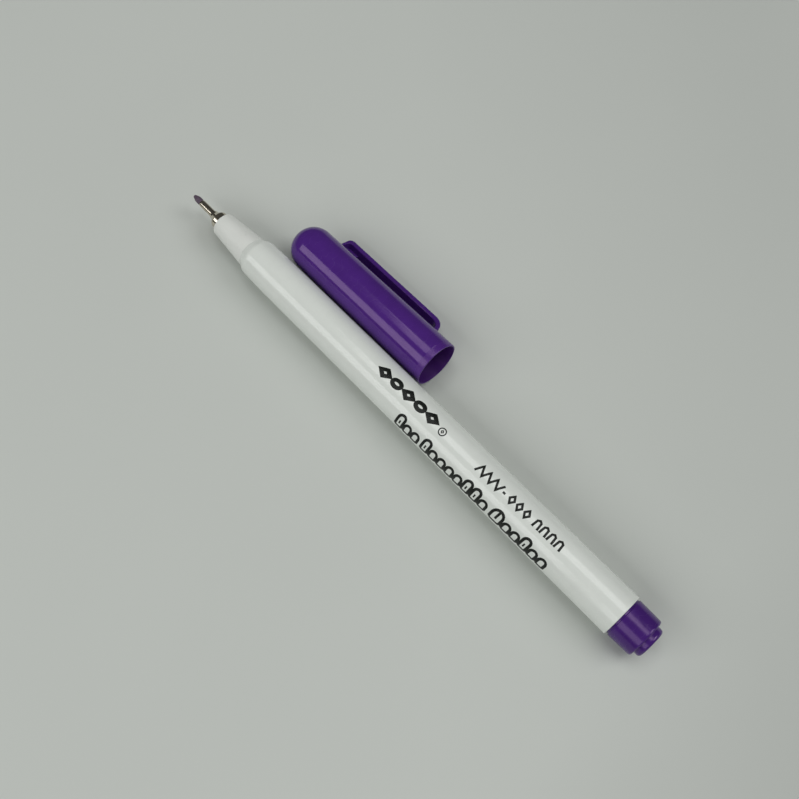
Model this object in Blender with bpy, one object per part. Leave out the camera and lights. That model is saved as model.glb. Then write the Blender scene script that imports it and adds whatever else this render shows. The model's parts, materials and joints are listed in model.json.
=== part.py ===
"""Fabric marking pen with its cap off: a tubular pen with a metal-clad nib, and a clip cap lying beside it.

Metres, +Z up. The pen lies on the plane Z = 0 with its nib towards +X. The cap lies on the same
plane on the pen's -Y side, dome towards +X. The origin is under the middle of the whole object.
"""

import math

import bmesh
import bpy
from mathutils import Euler, Vector

MM = 0.001

# Driving dimensions
PEN_LENGTH = 134.1 * MM
BARREL_RADIUS = 4.6 * MM
BARREL_WALL = 0.7 * MM
PLUG_RADIUS = 4.24 * MM
NOSE_REAR_RADIUS = 3.72 * MM
NOSE_FRONT_RADIUS = 2.75 * MM
NIB_TUBE_RADIUS = 0.82 * MM
NIB_RADIUS = 0.6 * MM
CAP_LENGTH = 43.0 * MM
CAP_MOUTH_RADIUS = 5.25 * MM
CAP_DOME_RADIUS = 5.0 * MM
CLIP_WIDTH = 3.8 * MM
CLIP_THICKNESS = 1.25 * MM
CLIP_STANDOFF = 3.65 * MM

# Clearances between pieces
SLIP = 0.1 * MM
SEAT = 0.3 * MM

# Bores that hold other pieces
BARREL_BORE = BARREL_RADIUS - BARREL_WALL
COLLAR_BORE = 2.9 * MM
NOSE_BORE = 1.95 * MM
CAP_SEAL_BORE = 4.2 * MM

# Stations along the pen, from the nib's point back to the rear disc
NIB_POINT_X = PEN_LENGTH / 2
TUBE_FRONT_X = NIB_POINT_X - 2.7 * MM
CONE_FRONT_X = NIB_POINT_X - 6.9 * MM
NOSE_FRONT_X = NIB_POINT_X - 10.1 * MM
SHOULDER_FRONT_X = NIB_POINT_X - 20.95 * MM
SHOULDER_REAR_X = NIB_POINT_X - 23.0 * MM
PARALLEL_X = NIB_POINT_X - 28.6 * MM
REAR_DISC_X = -PEN_LENGTH / 2
PLUG_END_X = REAR_DISC_X + 1.35 * MM
BARREL_REAR_X = REAR_DISC_X + 7.0 * MM

# Stations of what is hidden inside the pen
NIB_TUBE_REAR_X = CONE_FRONT_X - 9.0 * MM
SPIGOT_REAR_X = SHOULDER_FRONT_X - 7.6 * MM
HOLDER_REAR_X = SHOULDER_FRONT_X - 8.4 * MM
NIB_REAR_X = SHOULDER_FRONT_X - 17.0 * MM
RESERVOIR_FRONT_X = HOLDER_REAR_X - SEAT
PLUG_SPIGOT_FRONT_X = BARREL_REAR_X + 7.2 * MM
RESERVOIR_REAR_X = PLUG_SPIGOT_FRONT_X + SEAT

# Stations along the cap, from its mouth, and the clip's outer face from the cap's axis
DOME_CENTRE_X = CAP_LENGTH - CAP_DOME_RADIUS
CLIP_ROOT_X = 31.85 * MM
CLIP_OUTER_RADIUS = CAP_DOME_RADIUS + CLIP_STANDOFF

# Placing: where the pen's axis and the cap's mouth lie
PEN_AXIS = Vector((0, 7.08 * MM, BARREL_RADIUS))
CAP_MOUTH = Vector((-0.84 * MM, PEN_AXIS.y - 10.22 * MM, CAP_MOUTH_RADIUS))
CAP_YAW = math.radians(0.35)
CLIP_BELOW_LEVEL = math.radians(23.6)

# Facets round a turned piece
OUTER_FACETS = 48
INNER_FACETS = 32
MERGE = 1e-7


def clear_scene():
    for obj in list(bpy.data.objects):
        bpy.data.objects.remove(obj, do_unlink=True)


def plastic(name, colour, roughness):
    material = bpy.data.materials.new(name)
    material.use_nodes = True
    shader = material.node_tree.nodes["Principled BSDF"]
    shader.inputs["Base Color"].default_value = (*colour, 1)
    shader.inputs["Roughness"].default_value = roughness
    material.diffuse_color = (*colour, 1)
    return material


def metal(name, colour, roughness):
    material = plastic(name, colour, roughness)
    material.node_tree.nodes["Principled BSDF"].inputs["Metallic"].default_value = 1
    return material


def frame(name, location, rotation=(0, 0, 0)):
    """An empty that a group of pieces is parented to."""
    empty = bpy.data.objects.new(name, None)
    empty.location = location
    empty.rotation_euler = rotation
    bpy.context.scene.collection.objects.link(empty)
    return empty


def add_object(name, mesh, material=None, parent=None):
    obj = bpy.data.objects.new(name, mesh)
    if material:
        mesh.materials.append(material)
    obj.parent = parent
    bpy.context.scene.collection.objects.link(obj)
    return obj


def mesh_from(name, bm):
    bmesh.ops.recalc_face_normals(bm, faces=bm.faces)
    mesh = bpy.data.meshes.new(name)
    bm.to_mesh(mesh)
    bm.free()
    mesh.shade_smooth()
    mesh.set_sharp_from_angle(angle=math.radians(35))
    return mesh


def arc(centre_x, centre_r, radius, start, end, steps):
    """Points (x, r) on an arc; angles in degrees, 0 towards +X and 90 away from the axis."""
    points = []
    for i in range(steps + 1):
        angle = math.radians(start + (end - start) * i / steps)
        points.append((centre_x + radius * math.cos(angle), centre_r + radius * math.sin(angle)))
    return points


def turned_mesh(name, profile, facets):
    """Spins an outline of (x, r) points about X. One whose ends both lie on the axis stays open there."""
    bm = bmesh.new()
    ring = [bm.verts.new((x, 0, r)) for x, r in profile]
    edges = [bm.edges.new(pair) for pair in zip(ring, ring[1:])]
    meets_axis = profile[0][1] == 0 and profile[-1][1] == 0
    if not meets_axis:
        edges.append(bm.edges.new((ring[-1], ring[0])))
    bmesh.ops.spin(
        bm,
        geom=ring + edges,
        cent=(0, 0, 0),
        axis=(1, 0, 0),
        angle=math.tau,
        steps=facets,
        use_merge=True,
    )
    bmesh.ops.remove_doubles(bm, verts=bm.verts, dist=MERGE)
    return mesh_from(name, bm)


def turned(name, profile, material, parent, facets=OUTER_FACETS):
    return add_object(name, turned_mesh(name, profile, facets), material, parent)


def extruded_mesh(name, outline, width):
    """An outline of (x, z) points made into a bar of that width, centred on Y = 0."""
    bm = bmesh.new()
    face = bm.faces.new([bm.verts.new((x, -width / 2, z)) for x, z in outline])
    side = bmesh.ops.extrude_face_region(bm, geom=[face])
    moved = [v for v in side["geom"] if isinstance(v, bmesh.types.BMVert)]
    bmesh.ops.translate(bm, verts=moved, vec=(0, width, 0))
    return mesh_from(name, bm)


def boolean(obj, other, operation):
    """Joins or cuts obj with a helper, which is then only a guide."""
    other.hide_render = True
    other.display_type = "WIRE"
    modifier = obj.modifiers.new(operation.title(), "BOOLEAN")
    modifier.operation = operation
    modifier.object = other
    modifier.solver = "EXACT"


def round_edges(obj, width, segments=2):
    bevel = obj.modifiers.new("Rounding", "BEVEL")
    bevel.width = width
    bevel.segments = segments
    bevel.limit_method = "ANGLE"
    bevel.angle_limit = math.radians(40)


def make_barrel(parent, material):
    """A straight tube whose front draws in over a rounded shoulder to a collar that grips the nose."""
    rim = 0.2 * MM
    collar_rear = SHOULDER_FRONT_X - 6.0 * MM
    shoulder_round = 2.4 * MM
    shoulder_middle = BARREL_RADIUS - 0.17 * MM - shoulder_round
    outline = [
        (BARREL_REAR_X, BARREL_BORE),
        (BARREL_REAR_X, BARREL_RADIUS - rim),
        (BARREL_REAR_X + rim, BARREL_RADIUS),
        (PARALLEL_X, BARREL_RADIUS),
        *arc(SHOULDER_REAR_X, shoulder_middle, shoulder_round, 90, 62, 3),
        (SHOULDER_FRONT_X - rim / 2, NOSE_REAR_RADIUS + rim / 4),
        (SHOULDER_FRONT_X, NOSE_REAR_RADIUS - rim / 4),
        (SHOULDER_FRONT_X, COLLAR_BORE),
        (collar_rear, COLLAR_BORE),
        (collar_rear - 1.0 * MM, BARREL_BORE),
    ]
    return turned("barrel", outline, material, parent)


def make_front_section(parent, material):
    """The tapered nose, with a spigot that pushes into the barrel's collar."""
    spigot = COLLAR_BORE - SLIP / 2
    nose_rear = SHOULDER_FRONT_X + SLIP / 2
    round_front = 0.75 * MM
    lead_in = 0.35 * MM
    outline = [
        (SPIGOT_REAR_X, NOSE_BORE),
        (SPIGOT_REAR_X, spigot - lead_in),
        (SPIGOT_REAR_X + lead_in, spigot),
        (nose_rear, spigot),
        (nose_rear, NOSE_REAR_RADIUS - 0.1 * MM),
        (nose_rear + 0.1 * MM, NOSE_REAR_RADIUS),
        *arc(NOSE_FRONT_X - round_front, NOSE_FRONT_RADIUS - round_front, round_front, 84, 0, 4),
        (NOSE_FRONT_X, NOSE_BORE),
    ]
    return turned("front_section", outline, material, parent)


def make_tip_cone(parent, material):
    """Drawn metal cone: a skirt inside the nose, a flare, and a neck that grips the nib tube."""
    wall = 0.25 * MM
    skirt = NOSE_BORE - SLIP / 2
    skirt_rear = NOSE_FRONT_X - 3.0 * MM
    neck = NIB_TUBE_RADIUS + SLIP / 4
    neck_length = 0.8 * MM
    shoulder = 2.0 * MM
    flare_rear = CONE_FRONT_X - 2.2 * MM
    flare_length = flare_rear - CONE_FRONT_X
    outline = [
        (skirt_rear, skirt - wall),
        (skirt_rear, skirt),
        (NOSE_FRONT_X + SLIP / 2, skirt),
        (NOSE_FRONT_X + SLIP / 2, shoulder),
        (flare_rear, shoulder),
        (flare_rear - 0.12 * flare_length, shoulder - 0.08 * MM),
        (flare_rear - 0.4 * flare_length, 1.42 * MM),
        (flare_rear - 0.75 * flare_length, 1.08 * MM),
        (CONE_FRONT_X, neck + 0.12 * MM),
        (CONE_FRONT_X, neck),
        (CONE_FRONT_X - neck_length, neck),
        (flare_rear + SLIP, skirt - wall),
    ]
    return turned("tip_cone", outline, material, parent, INNER_FACETS)


def make_nib_tube(parent, material):
    """The steel tube round the nib, rolled in slightly at its front."""
    bore = NIB_RADIUS + SLIP / 2
    roll = 0.12 * MM
    outline = [
        (NIB_TUBE_REAR_X, bore),
        (NIB_TUBE_REAR_X, NIB_TUBE_RADIUS),
        (TUBE_FRONT_X - 2 * roll, NIB_TUBE_RADIUS),
        (TUBE_FRONT_X, NIB_TUBE_RADIUS - roll),
        (TUBE_FRONT_X, bore),
    ]
    return turned("nib_tube", outline, material, parent, INNER_FACETS)


def make_nib_holder(parent, material):
    """The plastic carrier behind the metal tip, fluted so that air can reach the reservoir."""
    front = NOSE_FRONT_X - 3.3 * MM
    rear = HOLDER_REAR_X
    radius = NOSE_BORE - SLIP / 2
    flange_radius = 2.75 * MM
    flange_front = SPIGOT_REAR_X - SLIP / 2
    tube_socket = NIB_TUBE_RADIUS + SLIP / 2
    socket_rear = NIB_TUBE_REAR_X - SLIP / 2
    bore = NIB_RADIUS + SLIP / 2
    outline = [
        (rear, bore),
        (rear, flange_radius),
        (flange_front, flange_radius),
        (flange_front, radius),
        (front, radius),
        (front, tube_socket),
        (socket_rear, tube_socket),
        (socket_rear, bore),
    ]
    holder = turned("nib_holder", outline, material, parent, INNER_FACETS)
    flutes = 4
    flute_width, flute_height, flute_depth = 0.7 * MM, 2.4 * MM, 0.5 * MM
    away = radius - flute_depth + flute_height / 2
    for i in range(flutes):
        angle = math.tau * i / flutes
        bm = bmesh.new()
        bmesh.ops.create_cube(bm, size=1)
        bmesh.ops.scale(bm, vec=(1.1 * (front - rear), flute_width, flute_height), verts=bm.verts)
        name = f"flute_cutter_{i + 1}"
        cutter = add_object(name, mesh_from(name, bm), None, parent)
        cutter.location = ((front + rear) / 2, -away * math.sin(angle), away * math.cos(angle))
        cutter.rotation_euler = (angle, 0, 0)
        boolean(holder, cutter, "DIFFERENCE")
    return holder


def make_nib(parent, material):
    """The writing nib: a rounded head in front of the tube, and a rod that reaches into the reservoir."""
    head_radius = 0.7 * MM
    head_rear = TUBE_FRONT_X + SLIP / 2
    point_radius = 0.24 * MM
    rear_chamfer = 0.3 * MM
    outline = [
        (NIB_REAR_X, 0),
        (NIB_REAR_X, NIB_RADIUS - rear_chamfer),
        (NIB_REAR_X + rear_chamfer, NIB_RADIUS),
        (head_rear, NIB_RADIUS),
        (head_rear, head_radius - 0.05 * MM),
        (head_rear + 0.45 * MM, head_radius),
        (NIB_POINT_X - 1.2 * MM, 0.55 * MM),
        *arc(NIB_POINT_X - point_radius, 0, point_radius, 62, 0, 3)[:-1],
        (NIB_POINT_X, 0),
    ]
    return turned("nib", outline, material, parent, INNER_FACETS)


def make_reservoir_core(parent, material):
    """The bonded-fibre ink rod, with the hole that the nib's rod presses open."""
    radius = 3.45 * MM
    hole = NIB_RADIUS + SLIP / 2
    hole_end = NIB_REAR_X - SEAT
    edge = 0.3 * MM
    outline = [
        (RESERVOIR_REAR_X, 0),
        (RESERVOIR_REAR_X, radius - edge),
        (RESERVOIR_REAR_X + edge, radius),
        (RESERVOIR_FRONT_X - edge, radius),
        (RESERVOIR_FRONT_X, radius - edge),
        (RESERVOIR_FRONT_X, hole),
        (hole_end, hole),
        (hole_end, 0),
    ]
    return turned("reservoir_core", outline, material, parent, INNER_FACETS)


def make_reservoir_film(parent, material):
    """The clear film tube wrapped round the ink rod, open at both ends."""
    inner, outer = 3.55 * MM, 3.7 * MM
    outline = [
        (RESERVOIR_REAR_X, inner),
        (RESERVOIR_REAR_X, outer),
        (RESERVOIR_FRONT_X, outer),
        (RESERVOIR_FRONT_X, inner),
    ]
    return turned("reservoir_film", outline, material, parent, INNER_FACETS)


def make_rear_plug(parent, material):
    """The coloured end plug: a cup-shaped spigot with two grip rings, a head, and a raised disc."""
    spigot = BARREL_BORE - 0.15 * MM
    ring = BARREL_BORE - 0.04 * MM
    head_front = BARREL_REAR_X - SLIP / 2
    head_round = 0.5 * MM
    disc = 3.2 * MM
    disc_round = 0.8 * MM
    cup_radius = 2.7 * MM
    cup_rear = PLUG_END_X + 1.6 * MM
    grip_rings = []
    for middle in (BARREL_REAR_X + 2.2 * MM, BARREL_REAR_X + 4.8 * MM):
        grip_rings += [
            (middle - 0.4 * MM, spigot),
            (middle - 0.15 * MM, ring),
            (middle + 0.15 * MM, ring),
            (middle + 0.4 * MM, spigot),
        ]
    outline = [
        (REAR_DISC_X, 0),
        (REAR_DISC_X, disc - disc_round),
        *arc(REAR_DISC_X + disc_round, disc - disc_round, disc_round, 180, 90, 3)[1:],
        (PLUG_END_X, disc),
        (PLUG_END_X, PLUG_RADIUS - head_round),
        *arc(PLUG_END_X + head_round, PLUG_RADIUS - head_round, head_round, 180, 90, 3)[1:],
        (head_front, PLUG_RADIUS),
        (head_front, spigot),
        *grip_rings,
        (PLUG_SPIGOT_FRONT_X - 0.5 * MM, spigot),
        (PLUG_SPIGOT_FRONT_X, spigot - 0.4 * MM),
        (PLUG_SPIGOT_FRONT_X, cup_radius),
        (cup_rear, cup_radius),
        (cup_rear, 0),
    ]
    return turned("rear_plug", outline, material, parent)


def cap_outline():
    """The cap shell's outline, from the mouth's rim over the outside to the dome and back inside."""
    bore = BARREL_RADIUS + SLIP / 2
    bore_end = 17.0 * MM
    lead_in = 0.1 * MM
    lip_length = 2.0 * MM
    lip_radius = CAP_MOUTH_RADIUS - 0.14 * MM
    roof = 3.9 * MM
    return [
        (0, bore + lead_in),
        (0, lip_radius - lead_in),
        (1.5 * lead_in, lip_radius),
        (lip_length, CAP_MOUTH_RADIUS),
        (DOME_CENTRE_X, CAP_DOME_RADIUS),
        *arc(DOME_CENTRE_X, 0, CAP_DOME_RADIUS, 90, 0, 8)[1:-1],
        (CAP_LENGTH, 0),
        (DOME_CENTRE_X + roof, 0),
        *arc(DOME_CENTRE_X, 0, roof, 0, 90, 4)[1:-1],
        (DOME_CENTRE_X, CAP_SEAL_BORE),
        (bore_end, CAP_SEAL_BORE),
        (bore_end - 0.5 * MM, bore),
        (3 * lead_in, bore),
    ]


def turned_cup_mesh(name, outline):
    """Spins an outline that touches the axis in its middle, outside and inside of a closed end."""
    middle = next(i for i, point in enumerate(outline) if point[1] == 0)
    opened = outline[middle + 1:] + outline[: middle + 1]
    bm = bmesh.new()
    ring = [bm.verts.new((x, 0, r)) for x, r in opened]
    edges = [bm.edges.new(pair) for pair in zip(ring, ring[1:])]
    bmesh.ops.spin(
        bm,
        geom=ring + edges,
        cent=(0, 0, 0),
        axis=(1, 0, 0),
        angle=math.tau,
        steps=OUTER_FACETS,
        use_merge=True,
    )
    bmesh.ops.remove_doubles(bm, verts=bm.verts, dist=MERGE)
    return mesh_from(name, bm)


def make_cap_shell(parent, material):
    """The cap with the web that carries the clip; the web stands on the cap's +Z side."""
    shell = add_object("cap_shell", turned_cup_mesh("cap_shell", cap_outline()), material, parent)
    web_front = 35.45 * MM
    web_rear = CLIP_ROOT_X + SEAT / 2
    foot_rear = web_rear - 1.5 * MM
    foot_top = CLIP_OUTER_RADIUS - CLIP_THICKNESS - SEAT
    sunk = CAP_DOME_RADIUS - 0.45 * MM
    corner = 0.9 * MM
    web_outline = [
        (foot_rear, sunk),
        (web_front, sunk),
        *arc(web_front - corner, CLIP_OUTER_RADIUS - corner, corner, 0, 90, 3),
        (web_rear, CLIP_OUTER_RADIUS),
        (web_rear, foot_top),
        (foot_rear + 0.5 * MM, foot_top - 0.1 * MM),
        (foot_rear, foot_top - 0.6 * MM),
    ]
    web = add_object("clip_web", extruded_mesh("clip_web", web_outline, CLIP_WIDTH), material, parent)
    boolean(shell, web, "UNION")
    return shell


def make_cap_seal(parent, material):
    """The inner cap: a soft cup in the dome end whose lip closes round the nose."""
    mouth = 17.1 * MM
    outer = CAP_SEAL_BORE - SLIP
    lip_bore = 3.5 * MM
    relief_bore = 3.6 * MM
    end_bore = 3.3 * MM
    chamfer = 0.9 * MM
    end = DOME_CENTRE_X + 0.2 * MM
    roof = 0.7 * MM
    outline = [
        (end, 0),
        (end, outer - chamfer),
        (end - chamfer, outer),
        (mouth + 0.3 * MM, outer),
        (mouth, outer - 0.3 * MM),
        (mouth, lip_bore + 0.2 * MM),
        (mouth + 0.5 * MM, lip_bore),
        (mouth + 1.2 * MM, lip_bore),
        (mouth + 1.6 * MM, relief_bore),
        (end - chamfer, end_bore),
        (end - roof, end_bore - 0.4 * MM),
        (end - roof, 0),
    ]
    return turned("cap_seal", outline, material, parent, INNER_FACETS)


def make_clip_arm(parent, material):
    """The clip's springing arm, from its root to a rounded free end that dips to the cap."""
    root = CLIP_ROOT_X - SEAT / 2
    free_end = 5.9 * MM
    top = CLIP_OUTER_RADIUS
    under = top - CLIP_THICKNESS
    round_radius = 2.4 * MM
    dip = CAP_MOUTH_RADIUS + 0.35 * MM
    free_round = arc(free_end + round_radius, top - round_radius, round_radius, 90, 180, 4)
    outline = [
        (root, under),
        (root, top),
        *free_round,
        (free_end + 0.15 * MM, dip),
        (free_end + 1.25 * MM, dip),
        (free_end + 3.2 * MM, under),
    ]
    arm = add_object("clip_arm", extruded_mesh("clip_arm", outline, CLIP_WIDTH), material, parent)
    round_edges(arm, 0.25 * MM)
    return arm


def main():
    clear_scene()
    white = plastic("white_plastic", (0.72, 0.75, 0.71), 0.35)
    purple = plastic("purple_plastic", (0.075, 0.022, 0.18), 0.25)
    natural = plastic("natural_plastic", (0.8, 0.8, 0.76), 0.4)
    film = plastic("film", (0.75, 0.78, 0.8), 0.2)
    ink_fibre = plastic("ink_fibre", (0.2, 0.06, 0.32), 0.9)
    nib_fibre = plastic("nib_fibre", (0.1, 0.06, 0.13), 0.7)
    steel = metal("steel", (0.62, 0.6, 0.56), 0.25)

    pen = frame("pen_frame", PEN_AXIS)
    make_barrel(pen, white)
    make_front_section(pen, white)
    make_tip_cone(pen, steel)
    make_nib_tube(pen, steel)
    make_nib_holder(pen, natural)
    make_nib(pen, nib_fibre)
    make_reservoir_core(pen, ink_fibre)
    make_reservoir_film(pen, film)
    make_rear_plug(pen, purple)

    clip_roll = math.radians(90) + CLIP_BELOW_LEVEL
    cap = frame("cap_frame", CAP_MOUTH, Euler((clip_roll, 0, CAP_YAW)))
    make_cap_shell(cap, purple)
    make_cap_seal(cap, natural)
    make_clip_arm(cap, purple)


main()
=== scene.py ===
"""Looks of the fabric marking pen and its loose cap: meshes, printed marks, materials, light and camera."""

import json
import math

import bmesh
import bpy
import numpy as np
from mathutils import Matrix, Vector


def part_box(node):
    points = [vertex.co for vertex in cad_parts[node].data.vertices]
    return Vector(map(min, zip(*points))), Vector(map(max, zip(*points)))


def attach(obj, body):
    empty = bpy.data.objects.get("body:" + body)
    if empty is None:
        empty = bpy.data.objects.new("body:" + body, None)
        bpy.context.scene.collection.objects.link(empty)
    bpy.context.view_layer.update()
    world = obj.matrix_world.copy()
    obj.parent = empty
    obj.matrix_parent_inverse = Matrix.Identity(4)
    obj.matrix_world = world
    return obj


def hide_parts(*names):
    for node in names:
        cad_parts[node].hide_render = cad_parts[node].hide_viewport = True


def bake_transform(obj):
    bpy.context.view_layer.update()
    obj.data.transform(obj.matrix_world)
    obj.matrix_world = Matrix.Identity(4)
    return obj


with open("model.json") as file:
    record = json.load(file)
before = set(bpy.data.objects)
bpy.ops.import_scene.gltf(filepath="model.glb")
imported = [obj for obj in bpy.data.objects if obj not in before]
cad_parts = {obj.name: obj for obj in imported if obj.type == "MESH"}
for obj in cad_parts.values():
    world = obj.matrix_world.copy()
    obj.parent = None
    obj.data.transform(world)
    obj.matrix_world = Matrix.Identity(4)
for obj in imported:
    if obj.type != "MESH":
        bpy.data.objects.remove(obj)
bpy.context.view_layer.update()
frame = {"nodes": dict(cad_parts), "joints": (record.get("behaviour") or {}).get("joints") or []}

MM = 0.001
SEGMENTS = 160
SHARP_ANGLE = math.radians(40)
JOINT_GAP = 0.05 * MM

# ---------------------------------------------------------------- places read from the frame
BARREL_LOW, BARREL_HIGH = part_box("barrel")
PEN_AXIS = (BARREL_LOW + BARREL_HIGH) / 2
PEN_AXIS.x = 0
BARREL_RADIUS = (BARREL_HIGH.z - BARREL_LOW.z) / 2
BARREL_REAR_X = BARREL_LOW.x
SHOULDER_FRONT_X = BARREL_HIGH.x
NOSE_FRONT_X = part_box("front_section")[1].x
SPIGOT_REAR_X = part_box("front_section")[0].x
CONE_LOW, CONE_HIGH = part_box("tip_cone")
TUBE_LOW, TUBE_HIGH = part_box("nib_tube")
NIB_LOW, NIB_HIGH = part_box("nib")
PLUG_LOW, PLUG_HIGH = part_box("rear_plug")

# The cap's own frame: X from its mouth to its dome, Z out through the clip. The clip's joint gives it.
CLIP_ROOT_X = 31.85 * MM
CLIP_THICKNESS = 1.25 * MM
CLIP_WIDTH = 3.8 * MM
CLIP_OUTER_RADIUS = 8.65 * MM
CLIP_MIDDLE_RADIUS = CLIP_OUTER_RADIUS - CLIP_THICKNESS / 2
CAP_LENGTH = 43.0 * MM
CAP_MOUTH_RADIUS = 5.25 * MM
CAP_DOME_RADIUS = 5.0 * MM
LIP_LENGTH = 1.45 * MM


def cap_matrix():
    joint = next(j for j in frame["joints"] if j["name"] == "clip_flex")
    across = Vector(joint["axis"]).normalized()
    along = Vector((0, 0, 1)).cross(across).normalized()
    outward = along.cross(across)
    mouth = Vector(joint["pos_m"]) - CLIP_ROOT_X * along - CLIP_MIDDLE_RADIUS * outward
    matrix = Matrix((along, across, outward)).transposed().to_4x4()
    matrix.translation = mouth
    return matrix


PEN_MATRIX = Matrix.Translation(PEN_AXIS)
CAP_MATRIX = cap_matrix()


# ---------------------------------------------------------------- outlines and meshes
FILLET_SHARE = 0.46
SUPPORT_SHARE = 0.03
SUPPORT_DISTANCE = 0.04 * MM


def rounded(corners, steps=6):
    """An outline from (x, r, fillet) corners: each fillet is an arc, with a support point beside each end.

    A fillet takes at most FILLET_SHARE of a side, and a support point at most SUPPORT_SHARE of it.
    """
    points = [np.array(corner[:2], float) for corner in corners]
    outline = [points[0]]
    for i in range(1, len(points) - 1):
        before, corner, after = points[i - 1], points[i], points[i + 1]
        fillet = corners[i][2]
        into, out = corner - before, after - corner
        length_in, length_out = np.linalg.norm(into), np.linalg.norm(out)
        into, out = into / length_in, out / length_out
        turn = math.atan2(into[0] * out[1] - into[1] * out[0], float(into @ out))
        if fillet == 0 or abs(turn) < 1e-4:
            outline.append(corner)
            continue
        tangent = min(fillet * math.tan(abs(turn) / 2), FILLET_SHARE * length_in, FILLET_SHARE * length_out)
        radius = tangent / math.tan(abs(turn) / 2)
        side = math.copysign(1, turn)
        start = corner - tangent * into
        centre = start + radius * side * np.array((-into[1], into[0]))
        support = min(SUPPORT_DISTANCE, SUPPORT_SHARE * length_in, SUPPORT_SHARE * length_out)
        outline.append(start - support * into)
        for k in range(steps + 1):
            angle = turn * k / steps
            spoke = start - centre
            cosine, sine = math.cos(angle), math.sin(angle)
            turned_spoke = (spoke[0] * cosine - spoke[1] * sine, spoke[0] * sine + spoke[1] * cosine)
            outline.append(centre + turned_spoke)
        outline.append(corner + (tangent + support) * out)
    outline.append(points[-1])
    return outline


def add_object(name, mesh, matrix, materials):
    """The mesh takes the matrix's turn and the object its place, so that its box stays a close one."""
    mesh.transform(matrix.to_3x3().to_4x4())
    obj = bpy.data.objects.new(name, mesh)
    for material in materials:
        mesh.materials.append(material)
    obj.matrix_world = Matrix.Translation(matrix.translation)
    bpy.context.scene.collection.objects.link(obj)
    return obj


def smooth_mesh(name, bm):
    """The mesh of bm with its faces pointing out, shaded smooth apart from its sharp edges."""
    bmesh.ops.recalc_face_normals(bm, faces=bm.faces)
    mesh = bpy.data.meshes.new(name)
    bm.to_mesh(mesh)
    bm.free()
    mesh.shade_smooth()
    mesh.set_sharp_from_angle(angle=SHARP_ANGLE)
    return mesh


def finish_mesh(name, bm):
    """A smooth mesh with the points that coincide made one."""
    bmesh.ops.remove_doubles(bm, verts=bm.verts, dist=1e-8)
    return smooth_mesh(name, bm)


def turned(name, outline, matrix, materials, segments=SEGMENTS, slot_of=None):
    """Spins an outline of (x, r) points about X; slot_of(x, r) may give a face another material.

    An outline that starts and ends on the axis is closed by that, and any other is joined end to start.
    """
    bm = bmesh.new()
    joined = outline[0][1] > 0 or outline[-1][1] > 0
    rings = []
    for x, r in outline:
        if r <= 1e-9:
            rings.append([bm.verts.new((x, 0, 0))])
        else:
            angles = [math.tau * k / segments for k in range(segments)]
            rings.append([bm.verts.new((x, r * math.sin(a), r * math.cos(a))) for a in angles])
    pairs = list(zip(rings, rings[1:]))
    if joined:
        pairs.append((rings[-1], rings[0]))
    for one, other in pairs:
        for k in range(segments):
            after = (k + 1) % segments
            corners = [one[k % len(one)], one[after % len(one)]]
            corners += [other[after % len(other)], other[k % len(other)]]
            unique = list(dict.fromkeys(corners))
            if len(unique) < 3:
                continue
            face = bm.faces.new(unique)
            if slot_of:
                middle = face.calc_center_median()
                face.material_index = slot_of(middle.x, math.hypot(middle.y, middle.z))
    return add_object(name, finish_mesh(name, bm), matrix, materials)


# ---------------------------------------------------------------- materials
def new_material(name):
    material = bpy.data.materials.new(name)
    material.use_nodes = True
    return material, material.node_tree, material.node_tree.nodes["Principled BSDF"]


def link(tree, source, target):
    tree.links.new(source, target)


def coordinates(tree, scale=(1, 1, 1)):
    """Object coordinates in millimetres, stretched by scale."""
    texture = tree.nodes.new("ShaderNodeTexCoord")
    mapping = tree.nodes.new("ShaderNodeMapping")
    mapping.inputs["Scale"].default_value = [1000 * s for s in scale]
    link(tree, texture.outputs["Object"], mapping.inputs["Vector"])
    return mapping.outputs["Vector"]


def noise(tree, scale, detail=3, stretch=(1, 1, 1), roughness=0.5):
    """Noise whose features are about 1/scale millimetres across."""
    node = tree.nodes.new("ShaderNodeTexNoise")
    node.inputs["Scale"].default_value = scale
    node.inputs["Detail"].default_value = detail
    node.inputs["Roughness"].default_value = roughness
    link(tree, coordinates(tree, stretch), node.inputs["Vector"])
    return node.outputs["Fac"]


def ramp(tree, value, stops):
    """A colour ramp; stops are (position, grey or colour)."""
    node = tree.nodes.new("ShaderNodeValToRGB")
    elements = node.color_ramp.elements
    while len(elements) < len(stops):
        elements.new(0.5)
    for element, (position, colour) in zip(elements, stops):
        element.position = position
        rgb = colour if isinstance(colour, tuple) else (colour,) * 3
        element.color = (*rgb, 1)
    link(tree, value, node.inputs["Fac"])
    return node.outputs["Color"]


def math_node(tree, operation, a, b):
    node = tree.nodes.new("ShaderNodeMath")
    node.operation = operation
    for socket, value in zip(node.inputs, (a, b)):
        if isinstance(value, (int, float)):
            socket.default_value = value
        else:
            link(tree, value, socket)
    return node.outputs["Value"]


def mix_colour(tree, factor, a, b, blend_type="MIX"):
    node = tree.nodes.new("ShaderNodeMix")
    node.data_type = "RGBA"
    node.blend_type = blend_type
    factor_socket, a_socket, b_socket = node.inputs[0], node.inputs[6], node.inputs[7]
    for socket, value in ((factor_socket, factor), (a_socket, a), (b_socket, b)):
        if isinstance(value, (int, float)):
            socket.default_value = value
        elif isinstance(value, tuple):
            socket.default_value = (*value, 1)
        else:
            link(tree, value, socket)
    return node.outputs[2]


def bump(tree, height, distance_mm, normal=None):
    node = tree.nodes.new("ShaderNodeBump")
    node.inputs["Strength"].default_value = 1
    node.inputs["Distance"].default_value = distance_mm * MM
    link(tree, height, node.inputs["Height"])
    if normal:
        link(tree, normal, node.inputs["Normal"])
    return node.outputs["Normal"]


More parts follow.
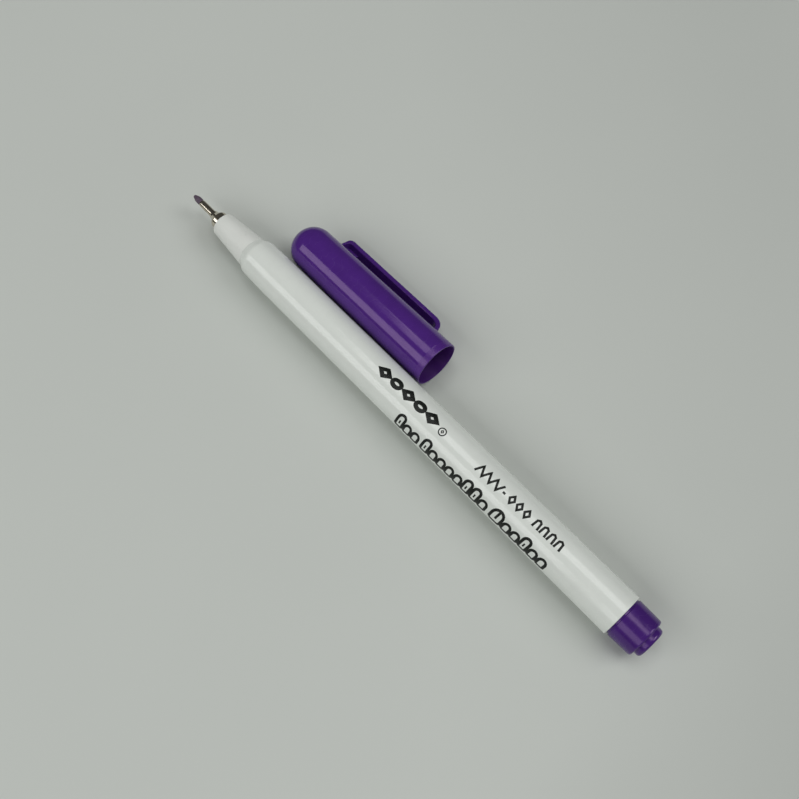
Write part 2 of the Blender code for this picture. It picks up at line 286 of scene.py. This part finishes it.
def fine_scratches(tree):
    """Thin random hairlines, 1 on a line and 0 off it."""
    wave = tree.nodes.new("ShaderNodeTexWave")
    wave.wave_type = "BANDS"
    wave.inputs["Scale"].default_value = 0.35
    wave.inputs["Distortion"].default_value = 9
    wave.inputs["Detail"].default_value = 2
    link(tree, coordinates(tree, (0.5, 1.1, 0.9)), wave.inputs["Vector"])
    return ramp(tree, wave.outputs["Fac"], [(0.0, 1.0), (0.006, 0.0), (1.0, 0.0)])


def moulded_plastic(
    name,
    base,
    roughness,
    variation=0.05,
    grain_mm=0.0012,
    waviness_mm=0.006,
    subsurface=0.0,
    specular=0.5,
    sheen=(1, 1, 1),
):
    """Glossy injection-moulded plastic: faint mottling, flow waviness, fine grain and a few hairlines."""
    scratch_roughness, scratch_depth_mm = 0.18, 0.0015
    material, tree, shader = new_material(name)
    pale = tuple(min(1, c * (1 + variation)) for c in base)
    deep = tuple(c * (1 - variation) for c in base)
    mottle = ramp(tree, noise(tree, 0.35, 4), [(0.3, deep), (0.7, pale)])
    link(tree, mottle, shader.inputs["Base Color"])
    scratches = fine_scratches(tree)
    clean, handled = roughness * 0.85, roughness * 1.25
    smudges = ramp(tree, noise(tree, 0.22, 5, roughness=0.6), [(0.35, clean), (0.7, handled)])
    rough = math_node(tree, "ADD", smudges, math_node(tree, "MULTIPLY", scratches, scratch_roughness))
    link(tree, rough, shader.inputs["Roughness"])
    flow = bump(tree, noise(tree, 0.25, 2, (0.25, 1, 1)), waviness_mm)
    grain = bump(tree, noise(tree, 9, 3), grain_mm, flow)
    scored = bump(tree, math_node(tree, "MULTIPLY", scratches, -1), scratch_depth_mm, grain)
    link(tree, scored, shader.inputs["Normal"])
    shader.inputs["Specular IOR Level"].default_value = specular
    shader.inputs["Specular Tint"].default_value = (*sheen, 1)
    shader.inputs["IOR"].default_value = 1.49
    if subsurface:
        shader.inputs["Subsurface Weight"].default_value = subsurface
        shader.inputs["Subsurface Radius"].default_value = (1, 1, 1)
        shader.inputs["Subsurface Scale"].default_value = 0.35 * MM
    return material


def turned_metal(name, base, roughness):
    """Bright drawn steel with fine rings round the axis and a little tarnish."""
    material, tree, shader = new_material(name)
    shader.inputs["Metallic"].default_value = 1
    tarnish = ramp(tree, noise(tree, 1.6, 4), [(0.35, tuple(0.72 * c for c in base)), (0.65, base)])
    link(tree, tarnish, shader.inputs["Base Color"])
    rings = noise(tree, 22, 2, (1, 0.02, 0.02))
    bright, dull = roughness * 0.7, roughness * 1.5
    link(tree, ramp(tree, rings, [(0.3, bright), (0.75, dull)]), shader.inputs["Roughness"])
    link(tree, bump(tree, rings, 0.002), shader.inputs["Normal"])
    return material


def fibre(name, base, stain, roughness):
    """Bonded fibres along the pen's length, unevenly stained."""
    material, tree, shader = new_material(name)
    strands = noise(tree, 14, 3, (0.12, 1, 1))
    patches = noise(tree, 1.4, 3)
    colour = mix_colour(tree, ramp(tree, patches, [(0.35, 0.0), (0.65, 1.0)]), base, stain)
    dark = ramp(tree, strands, [(0.3, 0.6), (0.7, 1.0)])
    link(tree, mix_colour(tree, 1.0, colour, dark, "MULTIPLY"), shader.inputs["Base Color"])
    link(tree, ramp(tree, strands, [(0.3, roughness), (0.7, roughness * 0.8)]), shader.inputs["Roughness"])
    link(tree, bump(tree, strands, 0.02), shader.inputs["Normal"])
    return material


def printed_ink(name):
    """Pad-printed black ink, a little uneven."""
    material, tree, shader = new_material(name)
    dense, thin = (0.003, 0.004, 0.003), (0.012, 0.015, 0.012)
    patches = noise(tree, 2.2, 5)
    link(tree, ramp(tree, patches, [(0.3, dense), (0.75, thin)]), shader.inputs["Base Color"])
    link(tree, ramp(tree, patches, [(0.3, 0.3), (0.7, 0.45)]), shader.inputs["Roughness"])
    link(tree, bump(tree, noise(tree, 12, 3), 0.002), shader.inputs["Normal"])
    shader.inputs["Specular IOR Level"].default_value = 0.25
    return material


def clear_film(name):
    """Thin glossy film with a few long wrinkles, seen only where the pen is taken apart."""
    material, tree, shader = new_material(name)
    deep, pale = (0.62, 0.66, 0.7), (0.74, 0.77, 0.8)
    wrinkles = noise(tree, 0.8, 3, (0.3, 1, 1))
    link(tree, ramp(tree, wrinkles, [(0.3, deep), (0.7, pale)]), shader.inputs["Base Color"])
    link(tree, ramp(tree, wrinkles, [(0.3, 0.12), (0.7, 0.25)]), shader.inputs["Roughness"])
    link(tree, bump(tree, wrinkles, 0.02), shader.inputs["Normal"])
    return material


PURPLE_SHEEN = (0.95, 0.7, 0.97)
WHITE = moulded_plastic(
    "white_plastic", (0.755, 0.79, 0.745), 0.11, variation=0.015, waviness_mm=0.003, subsurface=0.1
)
NOSE_WHITE = moulded_plastic("white_plastic_nose", (0.77, 0.79, 0.75), 0.3, variation=0.015, subsurface=0.1)
PURPLE = moulded_plastic(
    "purple_plastic", (0.07, 0.019, 0.2), 0.12, variation=0.06, waviness_mm=0.003, sheen=PURPLE_SHEEN
)
PURPLE_LIP = moulded_plastic(
    "purple_plastic_lip", (0.075, 0.02, 0.205), 0.27, variation=0.06, grain_mm=0.003, sheen=PURPLE_SHEEN
)
# The cap's bore: a rougher, less glossy satin purple, and a darker colour that is painted shade inside the
# cap.
PURPLE_BORE_PAINTED_SHADE = moulded_plastic(
    "purple_plastic_bore_painted_shade",
    (0.045, 0.009, 0.12),
    0.5,
    variation=0.08,
    grain_mm=0.004,
    specular=0.2,
    sheen=PURPLE_SHEEN,
)
PLUG_PURPLE = moulded_plastic(
    "purple_plastic_plug", (0.055, 0.015, 0.16), 0.17, variation=0.08, waviness_mm=0.004, sheen=PURPLE_SHEEN
)
NATURAL = moulded_plastic("natural_plastic", (0.72, 0.72, 0.66), 0.45, variation=0.03, subsurface=0.2)
STEEL = turned_metal("steel", (0.72, 0.66, 0.55), 0.1)
NIB = fibre("nib_fibre", (0.09, 0.062, 0.098), (0.16, 0.112, 0.16), 0.6)
INK_FIBRE = fibre("ink_fibre", (0.16, 0.03, 0.33), (0.3, 0.1, 0.5), 0.95)
PRINT = printed_ink("print_black")
FILM = clear_film("film")


# ---------------------------------------------------------------- the pen
def make_barrel():
    """The white tube, which narrows a little and then rounds in over its shoulder to the nose."""
    bore, collar_bore = 3.9 * MM, 2.9 * MM
    shoulder_rear_radius, shoulder_front_radius = 4.43 * MM, 3.76 * MM
    taper_length, shoulder_length = 7.65 * MM, 1.66 * MM
    collar_length, collar_and_slope = 6 * MM, 7 * MM
    corners = [
        (BARREL_REAR_X, bore, 0),
        (BARREL_REAR_X, BARREL_RADIUS, 0.16 * MM),
        (SHOULDER_FRONT_X - taper_length, BARREL_RADIUS, 60 * MM),
        (SHOULDER_FRONT_X - shoulder_length, shoulder_rear_radius, 2.4 * MM),
        (SHOULDER_FRONT_X, shoulder_front_radius, 0.06 * MM),
        (SHOULDER_FRONT_X, collar_bore, 0),
        (SHOULDER_FRONT_X - collar_length, collar_bore, 0),
        (SHOULDER_FRONT_X - collar_and_slope, bore, 0),
    ]
    barrel = turned("barrel_tube", rounded(corners), PEN_MATRIX, [WHITE])
    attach(barrel, "pen")
    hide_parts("barrel")


def make_nose():
    """The tapered nose with its rounded front, which is set back a little from the CAD's."""
    bore, spigot, nose_rear_radius, nose_front_radius = 1.95 * MM, 2.85 * MM, 3.72 * MM, 2.75 * MM
    set_back = 0.3 * MM
    nose_rear, front = SHOULDER_FRONT_X + JOINT_GAP, NOSE_FRONT_X - set_back
    corners = [
        (SPIGOT_REAR_X, bore, 0),
        (SPIGOT_REAR_X, spigot, 0.3 * MM),
        (nose_rear, spigot, 0),
        (nose_rear, nose_rear_radius, 0.06 * MM),
        (front, nose_front_radius, 0.95 * MM),
        (front, bore, 0),
    ]
    nose = turned("nose", rounded(corners, 8), PEN_MATRIX, [NOSE_WHITE])
    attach(nose, "pen")
    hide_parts("front_section")


def make_tip_cone():
    """The metal cone: a skirt inside the nose, a collar at the nose's front and a flare down to the tube."""
    skirt, wall, neck, collar, flare = 1.9 * MM, 0.25 * MM, 0.845 * MM, 2.0 * MM, 1.14 * MM
    neck_wall = 0.14 * MM
    front = CONE_HIGH.x
    collar_rear, collar_front, flare_front = NOSE_FRONT_X - 0.25 * MM, front - 1.95 * MM, front - 0.72 * MM
    neck_rear, bore_front = front - 0.8 * MM, front - 2.1 * MM
    corners = [
        (CONE_LOW.x, skirt - wall, 0),
        (CONE_LOW.x, skirt, 0),
        (collar_rear, skirt, 0),
        (collar_rear, collar, 0.05 * MM),
        (collar_front, collar, 0.5 * MM),
        (flare_front, flare, 0.8 * MM),
        (front, neck + neck_wall, 0.06 * MM),
        (front, neck, 0),
        (neck_rear, neck, 0),
        (bore_front, skirt - wall, 0),
    ]
    cone = turned("tip_cone_metal", rounded(corners, 8), PEN_MATRIX, [STEEL], 128)
    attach(cone, "pen")
    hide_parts("tip_cone")


def make_nib_tube():
    """The thin steel tube, drawn in slightly at its front."""
    bore, radius = 0.65 * MM, 0.82 * MM
    drawn_length, drawn_depth = 0.35 * MM, 0.1 * MM
    corners = [
        (TUBE_LOW.x, bore, 0),
        (TUBE_LOW.x, radius, 0.04 * MM),
        (TUBE_HIGH.x - drawn_length, radius, 0.3 * MM),
        (TUBE_HIGH.x, radius - drawn_depth, 0.04 * MM),
        (TUBE_HIGH.x, bore, 0),
    ]
    tube = turned("nib_tube_metal", rounded(corners), PEN_MATRIX, [STEEL], 96)
    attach(tube, "pen")
    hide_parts("nib_tube")


def make_nib():
    """The fibre rod, with a wider head that narrows to a blunt point."""
    rod, head, point = 0.6 * MM, 0.75 * MM, 0.34 * MM
    taper_length, point_length = 1.25 * MM, 0.04 * MM
    head_rear = TUBE_HIGH.x + JOINT_GAP
    corners = [
        (NIB_LOW.x, 0, 0),
        (NIB_LOW.x, rod, 0.25 * MM),
        (head_rear, rod, 0),
        (head_rear, head, 0.05 * MM),
        (NIB_HIGH.x - taper_length, head, 1.8 * MM),
        (NIB_HIGH.x - point_length, point, 0.3 * MM),
        (NIB_HIGH.x, 0, 0),
    ]
    nib = turned("nib_rod", rounded(corners, 8), PEN_MATRIX, [NIB], 64)
    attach(nib, "pen")
    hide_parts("nib")


def make_rear_plug():
    """The plug: a raised disc with a small dimple, a rounded head and, inside the barrel, a ringed spigot."""
    spigot, ring, head, disc, hollow = 3.75 * MM, 3.91 * MM, 4.3 * MM, 3.2 * MM, 2.7 * MM
    dimple, dimple_rim, dimple_depth = 0.7 * MM, 0.8 * MM, 0.06 * MM
    head_draft, groove_depth = 0.12 * MM, 0.22 * MM
    groove_rear, groove_floor = 0.4 * MM, 0.32 * MM
    ring_reach = 0.4 * MM
    rear = PLUG_LOW.x
    head_rear = rear + 1.35 * MM
    head_front = BARREL_REAR_X - JOINT_GAP
    hollow_rear = head_rear + 1.6 * MM
    grip_rings = []
    for middle in (BARREL_REAR_X + 2.2 * MM, BARREL_REAR_X + 4.8 * MM):
        grip_rings += [
            (middle - ring_reach, spigot, 0),
            (middle, ring, 0.3 * MM),
            (middle + ring_reach, spigot, 0),
        ]
    corners = [
        (rear + dimple_depth, 0, 0),
        (rear + dimple_depth, dimple, 0.05 * MM),
        (rear, dimple_rim, 0.05 * MM),
        (rear, disc, 1.1 * MM),
        (head_rear, disc, 0.1 * MM),
        (head_rear, head - head_draft, 0.7 * MM),
        (head_front - groove_rear, head, 0.08 * MM),
        (head_front - groove_floor, head - groove_depth, 0.03 * MM),
        (head_front, head - groove_depth, 0),
        (head_front, spigot, 0),
        *grip_rings,
        (PLUG_HIGH.x, spigot, 0.4 * MM),
        (PLUG_HIGH.x, hollow, 0),
        (hollow_rear, hollow, 0.5 * MM),
        (hollow_rear, 0, 0),
    ]
    plug = turned("end_plug", rounded(corners, 8), PEN_MATRIX, [PLUG_PURPLE])
    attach(plug, "pen")
    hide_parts("rear_plug")


# ---------------------------------------------------------------- marks printed on the barrel
PRINT_PROUD = 0.012 * MM
PRINT_SUNK = 0.02 * MM
PRINT_STEP = 0.25 * MM


def on_barrel(along, around, height):
    """A point on the barrel: along the pen's X, around from its top towards the cap, both in metres."""
    angle = around / BARREL_RADIUS
    r = BARREL_RADIUS + height
    return Vector((along, -r * math.sin(angle), r * math.cos(angle)))


def split(points, closed, step=PRINT_STEP):
    """The same path with a point at least every step."""
    path = []
    pairs = list(zip(points, points[1:] + points[:1])) if closed else list(zip(points, points[1:]))
    for start, end in pairs:
        start, end = Vector(start), Vector(end)
        count = max(1, math.ceil((end - start).length / step))
        path += [start.lerp(end, k / count) for k in range(count)]
    return path if closed else path + [Vector(points[-1])]


def ribbon(bm, points, width, closed=False):
    """A line of ink of even width along (along, around) points, a thin solid that follows the barrel."""
    path = split([tuple(p) for p in points], closed)
    count = len(path)
    strips = max(1, math.ceil(width / PRINT_STEP))
    sections = []
    for i, point in enumerate(path):
        before = path[i - 1] if closed or i else point
        after = path[(i + 1) % count] if closed or i + 1 < count else point
        into = (point - before).normalized() if point != before else (after - point).normalized()
        out = (after - point).normalized() if after != point else into
        side = Vector((-(into + out).y, (into + out).x)).normalized()
        reach = width / 2 / max(0.5, side.dot(Vector((-into.y, into.x))))
        across = [point + side * reach * (1 - 2 * k / strips) for k in range(strips + 1)]
        top = [bm.verts.new(on_barrel(p.x, p.y, PRINT_PROUD)) for p in across]
        low = [bm.verts.new(on_barrel(p.x, p.y, -PRINT_SUNK)) for p in reversed(across)]
        sections.append(top + low)
    pairs = list(zip(sections, sections[1:]))
    if closed:
        pairs.append((sections[-1], sections[0]))
    corners = 2 * (strips + 1)
    for one, other in pairs:
        for k in range(corners):
            bm.faces.new([one[k], one[(k + 1) % corners], other[(k + 1) % corners], other[k]])
    if not closed:
        bm.faces.new(sections[0][::-1])
        bm.faces.new(sections[-1])


def lozenge(x, y, length, height):
    """The four corners of a lozenge: x along the pen, y around it."""
    return [(x - length / 2, y), (x, y + height / 2), (x + length / 2, y), (x, y - height / 2)]


def ellipse(x, y, length, height):
    """The points of an ellipse: x along the pen, y around it."""
    steps = 20
    angles = [math.tau * k / steps for k in range(steps)]
    return [(x + length / 2 * math.cos(a), y + height / 2 * math.sin(a)) for a in angles]


def quilt_blocks(bm):
    """A bold row of lozenge and round patchwork blocks by turns, then a fine ring with a lozenge in it."""
    first, pitch, middle, line = 3.45 * MM, 3.36 * MM, 0.17 * MM, 0.9 * MM
    for k in range(5):
        x = first - k * pitch
        if k % 2:
            ribbon(bm, ellipse(x, middle, 2.2 * MM, 1.45 * MM), line, closed=True)
        else:
            ribbon(bm, lozenge(x, middle, 2.5 * MM, 1.7 * MM), line, closed=True)
    ring_x, ring_y, ring = -13.35 * MM, -0.35 * MM, 1.55 * MM
    ribbon(bm, ellipse(ring_x, ring_y, ring, ring), 0.24 * MM, closed=True)
    ribbon(bm, lozenge(ring_x, ring_y, 0.55 * MM, 0.6 * MM), 0.2 * MM, closed=True)


def leaning_link(x, base, length, height, lean):
    """A rounded link that stands on base and leans along the pen."""
    half, steps = length / 2, 9
    turns = [math.pi * k / steps for k in range(steps + 1)]
    top = [(half * math.cos(a), height - half * (1 - math.sin(a))) for a in turns]
    foot = 0.3 * half
    low = [(-half, foot), (-half + foot, 0), (half - foot, 0), (half, foot)]
    return [(x + px - lean * py, base + py) for px, py in top + low]


def chain_stitch(bm):
    """A heavy row of outlined leaning links in three runs.

    In a run s is a short link, t a tall one and T a tall and wide one. The tall ones have a slit inside.
    """
    base, line, lean = -6.7 * MM, 0.6 * MM, 0.14
    tall, short, length, broad = 3.3 * MM, 2.3 * MM, 1.66 * MM, 1.55
    x = -5.2 * MM
    for heights, pitch, gap in (("tss", 2.2, 0.6), ("tsssstts", 2.26, 0.75), ("Tsstss", 2.26, 0)):
        for kind in heights:
            wide = length * (broad if kind == "T" else 1)
            height = short if kind == "s" else tall
            middle = x - (wide - length) / 2
            ribbon(bm, leaning_link(middle, base, wide, height, lean), line, closed=True)
            if kind == "T":
                upper = (middle - lean * height, base + height - 0.2 * MM)
                lower = (middle - 0.3 * lean * height, base + 0.3 * height)
                ribbon(bm, [upper, lower], 0.5 * MM)
            elif kind == "t":
                lower = (middle - 0.25 * lean * height, base + 0.28 * height)
                upper = (middle - 0.55 * lean * height, base + 0.58 * height)
                ribbon(bm, [lower, upper], 0.34 * MM)
            x = middle - (wide - length) / 2 - pitch * MM
        x -= gap * MM


def fine_stitches(bm):
    """A fine row: a zigzag stitch, a dash, three open lozenges and four scallops."""
    line = 0.46 * MM
    low, high = -1.2 * MM, 0.62 * MM
    zigzag_start, zigzag_pitch = -22.95 * MM, 0.92 * MM
    ribbon(bm, [(zigzag_start - k * zigzag_pitch, high if k % 2 else low) for k in range(8)], line)
    dash_height = -0.45 * MM
    ribbon(bm, [(-29.75 * MM, dash_height), (-30.35 * MM, dash_height)], line)
    for k in range(3):
        x = -32.0 * MM - k * 1.9 * MM
        ribbon(bm, lozenge(x, (low + high) / 2, 1.2 * MM, 1.7 * MM), line, closed=True)
    foot, shoulder, crown_drop = 0.62 * MM, 0.45 * MM, 0.3 * MM
    for k in range(4):
        x = -38.45 * MM - k * 1.8 * MM
        scallop = [
            (x + foot, low),
            (x + shoulder, high - crown_drop),
            (x, high),
            (x - shoulder, high - crown_drop),
            (x - foot, low),
        ]
        ribbon(bm, scallop, line)


def make_print():
    """All the marks in one mesh of thin ink solids, on the side of the barrel that faces up."""
    bm = bmesh.new()
    quilt_blocks(bm)
    chain_stitch(bm)
    fine_stitches(bm)
    marks = add_object("barrel_print", smooth_mesh("barrel_print", bm), PEN_MATRIX, [PRINT])
    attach(marks, "pen")


# ---------------------------------------------------------------- the cap
def make_cap():
    """The cap: a chamfered mouth with a satin lip, a slightly tapered body and a dome blunter than a ball."""
    bore, seal_bore, roof = 4.65 * MM, 4.2 * MM, 3.9 * MM
    seal_seat_x, bore_end_x, chamfer_end_x = 17 * MM, 16.5 * MM, 0.6 * MM
    lip_groove, groove_length = 0.025 * MM, 0.06 * MM
    rim_bore, rim_radius = 4.96 * MM, CAP_MOUTH_RADIUS - 0.03 * MM
    inner_skin_radius, inner_skin_depth = 4.94 * MM, 20 * MM
    dome_centre, bluntness = CAP_LENGTH - CAP_DOME_RADIUS, 0.93
    dome_steps, ceiling_steps = 24, 10
    dome = [
        (
            dome_centre + CAP_DOME_RADIUS * math.sin(a) ** bluntness,
            CAP_DOME_RADIUS * math.cos(a) ** bluntness,
        )
        for a in (math.pi / 2 * k / dome_steps for k in range(1, dome_steps))
    ]
    ceiling = [
        (dome_centre + roof * math.cos(a), roof * math.sin(a))
        for a in (math.pi / 2 * k / ceiling_steps for k in range(1, ceiling_steps))
    ]
    outside = rounded([
        (chamfer_end_x, bore, 0),
        (0, rim_bore, 0.06 * MM),
        (0, rim_radius, 0.12 * MM),
        (LIP_LENGTH, CAP_MOUTH_RADIUS - lip_groove, 0.05 * MM),
        (LIP_LENGTH + groove_length, CAP_MOUTH_RADIUS, 0.06 * MM),
        (dome_centre, CAP_DOME_RADIUS, 0),
    ])
    inside = rounded([
        (dome_centre, seal_bore, 0),
        (seal_seat_x, seal_bore, 0.2 * MM),
        (bore_end_x, bore, 0.2 * MM),
        (chamfer_end_x, bore, 0),
    ])

    def slot_of(x, r):
        # Faces inside the bore take slot 2, whose darker purple is painted shade.
        if r < inner_skin_radius and x < inner_skin_depth:
            return 2
        return 1 if x < LIP_LENGTH else 0

    apex, roof_top = [(CAP_LENGTH, 0)], [(dome_centre + roof, 0)]
    outline = roof_top + ceiling + inside[:-1] + outside + dome + apex
    cap = turned("cap_moulding", outline, CAP_MATRIX, [PURPLE, PURPLE_LIP, PURPLE_BORE_PAINTED_SHADE], slot_of=slot_of)
    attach(cap, "cap")
    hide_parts("cap_shell")


def make_cap_seal():
    """The inner cap, a cup whose lip closes on the pen's nose."""
    outer, lip_bore, relief_bore, end_bore = 4.1 * MM, 3.5 * MM, 3.6 * MM, 3.3 * MM
    mouth, end, end_wall = 17.1 * MM, CAP_LENGTH - CAP_DOME_RADIUS + 0.2 * MM, 0.7 * MM
    corners = [
        (end, 0, 0),
        (end, outer, 0.8 * MM),
        (mouth, outer, 0.3 * MM),
        (mouth, lip_bore + 0.2 * MM, 0.1 * MM),
        (mouth + 0.5 * MM, lip_bore, 0.2 * MM),
        (mouth + 1.2 * MM, lip_bore, 0.2 * MM),
        (mouth + 1.6 * MM, relief_bore, 0.2 * MM),
        (end - end_wall, end_bore, 0.5 * MM),
        (end - end_wall, 0, 0),
    ]
    seal = turned("inner_cap", rounded(corners), CAP_MATRIX, [NATURAL], 128)
    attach(seal, "cap")
    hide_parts("cap_seal")


def bar(name, outline, width, edge, material):
    """A closed solid: an outline of (x, r) in the cap's middle plane, given a width and softened edges."""
    bm = bmesh.new()
    longest_edge, hard_edge = 0.5 * MM, math.radians(70)
    path = split([tuple(p) for p in outline], True, longest_edge)
    face = bm.faces.new([bm.verts.new((p.x, -width / 2, p.y)) for p in path])
    grown = bmesh.ops.extrude_face_region(bm, geom=[face])
    moved = [v for v in grown["geom"] if isinstance(v, bmesh.types.BMVert)]
    bmesh.ops.translate(bm, verts=moved, vec=(0, width, 0))
    rims = [e for e in bm.edges if len(e.link_faces) == 2 and e.calc_face_angle(0) > hard_edge]
    bmesh.ops.bevel(bm, geom=rims, offset=edge, segments=4, profile=0.5, affect="EDGES")
    return add_object(name, finish_mesh(name, bm), CAP_MATRIX, [material])


def make_clip():
    """The clip's arm, curled down to the cap at its free end, with its root on the web. The real clip bends
    about that root; this mesh is built only in its resting shape.
    """
    top, under = CLIP_OUTER_RADIUS, CLIP_OUTER_RADIUS - CLIP_THICKNESS
    root_end, free_end, curl_start = 35.7 * MM, 5.9 * MM, 8.9 * MM
    dip, steps = CAP_MOUTH_RADIUS + 0.3 * MM, 12
    turns = [math.pi / 2 * k / steps for k in range(steps + 1)]
    tip_thickness, inside_start = 0.95 * MM, curl_start + 0.5 * MM
    outside_reach = curl_start - free_end
    inside_reach = inside_start - (free_end + tip_thickness)
    outside = [(curl_start - outside_reach * math.sin(a), dip + (top - dip) * math.cos(a)) for a in turns]
    inside = [(inside_start - inside_reach * math.sin(a), dip + (under - dip) * math.cos(a)) for a in turns]
    sunk = CAP_DOME_RADIUS - 0.4 * MM
    end_wall, fillet_room, straight_start = 0.55 * MM, 0.75 * MM, root_end - 3 * MM
    root = rounded([
        (straight_start, under, 0),
        (root_end - fillet_room, under, 0.7 * MM),
        (root_end - end_wall, sunk, 0.05 * MM),
        (root_end, sunk, 0.05 * MM),
        (root_end, top, 1.1 * MM),
        (straight_start, top, 0),
    ], 8)
    outline = [tuple(p) for p in root] + outside + inside[::-1]
    clip = bar("clip_moulding", outline, CLIP_WIDTH, 0.22 * MM, PURPLE)
    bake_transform(clip)
    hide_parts("clip_arm")


def make_clip_web():
    """The narrow web under the clip's root, behind the arm's end wall.

    rounded() leaves its first corner out of the fillets, so lead_in only starts it off and is dropped.
    """
    sunk, buried = CAP_DOME_RADIUS - 0.45 * MM, CLIP_OUTER_RADIUS - 0.5 * CLIP_THICKNESS
    front, rear, flare, width = 35.4 * MM, 31.9 * MM, 0.4 * MM, 0.9 * MM
    waist = CAP_MOUTH_RADIUS + 1.2 * MM
    lead_in = (rear + 1 * MM, sunk, 0)
    corners = [
        lead_in,
        (front, sunk, 0),
        (front, buried, 0.3 * MM),
        (rear - flare, buried, 0.1 * MM),
        (rear, waist, 1.0 * MM),
        (rear - flare, sunk, 0),
    ]
    outline = rounded(corners, 8)[1:]
    web = bar("clip_web", outline, width, 0.1 * MM, PURPLE)
    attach(web, "cap")


def dress_hidden_nodes():
    """Better materials on the CAD pieces that stay: the holder and the ink reservoir."""
    for node, material in (("nib_holder", NATURAL), ("reservoir_core", INK_FIBRE), ("reservoir_film", FILM)):
        obj = frame["nodes"][node]
        obj.data.materials.clear()
        obj.data.materials.append(material)


# ---------------------------------------------------------------- floor, light and camera
def multiply(tree, a, b):
    return mix_colour(tree, 1.0, a, b, "MULTIPLY")


def make_floor():
    """A pale grey paper with painted light and shade: its colour darkens slowly over the 0.4 m about the pen,
    towards -Y, beyond the plug's end at -X and towards -X -Y.
    """
    size, cells, span = 3.0, 24, 0.4
    bm = bmesh.new()
    bmesh.ops.create_grid(bm, x_segments=cells, y_segments=cells, size=size / 2)
    mesh = bpy.data.meshes.new("floor")
    bm.to_mesh(mesh)
    bm.free()
    material, tree, shader = new_material("floor_paper")
    deep, pale = (0.577, 0.606, 0.57), (0.592, 0.621, 0.584)
    tint = ramp(tree, noise(tree, 0.012, 3), [(0.3, deep), (0.7, pale)])
    metres = tree.nodes.new("ShaderNodeSeparateXYZ")
    link(tree, coordinates(tree, (MM, MM, MM)), metres.inputs["Vector"])
    along_x, along_y = (
        math_node(tree, "ADD", math_node(tree, "MULTIPLY", metres.outputs[axis], 1 / span), 0.5)
        for axis in "XY"
    )
    diagonal = math_node(
        tree, "ADD", math_node(tree, "MULTIPLY", along_x, 0.67), math_node(tree, "MULTIPLY", along_y, 0.74)
    )
    # Painted light and shade: the floor's colour is darker towards -Y and lighter towards +Y.
    painted_light_fade = ramp(tree, along_y, [(0.0, 0.955), (1.0, 1.055)])
    # Painted shade: the floor's colour is darker beyond the plug's end, towards -X.
    corner = ramp(tree, along_x, [(0.18, 0.85), (0.33, 1.01), (0.55, 1.0)])
    # Painted shade: the floor's colour is darker towards -X -Y.
    far_side_painted_shade = ramp(tree, diagonal, [(0.495, 0.905), (0.705, 1.0)])
    shade = multiply(tree, multiply(tree, painted_light_fade, corner), far_side_painted_shade)
    # The painted light and shade multiply the paper's random tint.
    link(tree, multiply(tree, tint, shade), shader.inputs["Base Color"])
    shader.inputs["Roughness"].default_value = 0.8
    shader.inputs["Specular IOR Level"].default_value = 0.2
    link(tree, bump(tree, noise(tree, 3, 4), 0.004), shader.inputs["Normal"])
    floor = add_object("floor", mesh, Matrix.Identity(4), [material])


def area_light(name, place, aim, size, radiance, turn_degrees=0):
    """A rectangular soft light of that radiance, facing aim, turned about its own axis."""
    data = bpy.data.lights.new(name, "AREA")
    data.shape = "RECTANGLE"
    data.size, data.size_y = size
    data.energy = radiance * math.pi * size[0] * size[1]
    light = bpy.data.objects.new(name, data)
    facing = (Vector(aim) - Vector(place)).to_track_quat("-Z", "Y").to_matrix().to_4x4()
    turn = Matrix.Rotation(math.radians(turn_degrees), 4, "Z")
    light.matrix_world = Matrix.Translation(place) @ facing @ turn
    bpy.context.scene.collection.objects.link(light)


def make_light():
    """A dim pale room and five softboxes.

    The key is beyond the pen's rear on the cap's side. A softbox and a strip are overhead. Two more stand on
    the pen's side: one towards the nib, and a dimmer one towards the plug.
    """
    world = bpy.data.worlds.new("studio")
    bpy.context.scene.world = world
    world.use_nodes = True
    background = world.node_tree.nodes["Background"]
    background.inputs["Color"].default_value = (0.98, 1.0, 0.97, 1)
    background.inputs["Strength"].default_value = 0.07
    over, strip_over = (0.08, -0.16, 0), (0.365, 0.02, 0)
    front_side, rear_side, pen_middle = (0.43, 0.0, 0.0), (-0.55, 0.0, 0.0), (0.0, 0.0, 0.0)
    area_light("overhead_softbox", (0.08, -0.16, 1.0), over, (0.62, 0.48), 2.4, 28)
    area_light("overhead_strip", (0.365, 0.02, 1.0), strip_over, (0.1, 0.5), 2.3)
    area_light("side_softbox", (0.43, 0.88, 0.68), front_side, (0.84, 0.62), 2.5)
    area_light("side_softbox_dim", (-0.55, 0.88, 0.68), rear_side, (1.0, 0.62), 1.6)
    area_light("key_softbox", (-0.62, -0.62, 0.86), pen_middle, (0.66, 0.66), 3.9)


def make_camera():
    """Looks down on the pen's middle from beside its rear half, pen running down to the right."""
    data = bpy.data.cameras.new("camera")
    data.sensor_width = 36
    data.lens = 40.03
    data.clip_start = 0.005
    camera = bpy.data.objects.new("camera", data)
    distance = 178.6 * MM
    azimuth, elevation, roll = (math.radians(degrees) for degrees in (137.9, 65.56, -0.69))
    back = Vector((
        math.cos(elevation) * math.cos(azimuth),
        math.cos(elevation) * math.sin(azimuth),
        math.sin(elevation),
    ))
    level = Vector((0, 0, 1)).cross(back).normalized()
    right = Matrix.Rotation(roll, 3, back) @ level
    off_middle = Vector((-1.18 * MM, 0.355 * MM, 0))
    aim = PEN_AXIS + off_middle
    turn = Matrix((right, back.cross(right), back)).transposed()
    camera.matrix_world = Matrix.Translation(aim + distance * back) @ turn.to_4x4()
    bpy.context.scene.collection.objects.link(camera)
    bpy.context.scene.camera = camera
    bpy.context.scene.view_settings.view_transform = "Standard"


make_camera()
make_light()
make_floor()
make_barrel()
make_nose()
make_tip_cone()
make_nib_tube()
make_nib()
make_rear_plug()
make_print()
make_cap()
make_cap_seal()
make_clip()
make_clip_web()
dress_hidden_nodes()
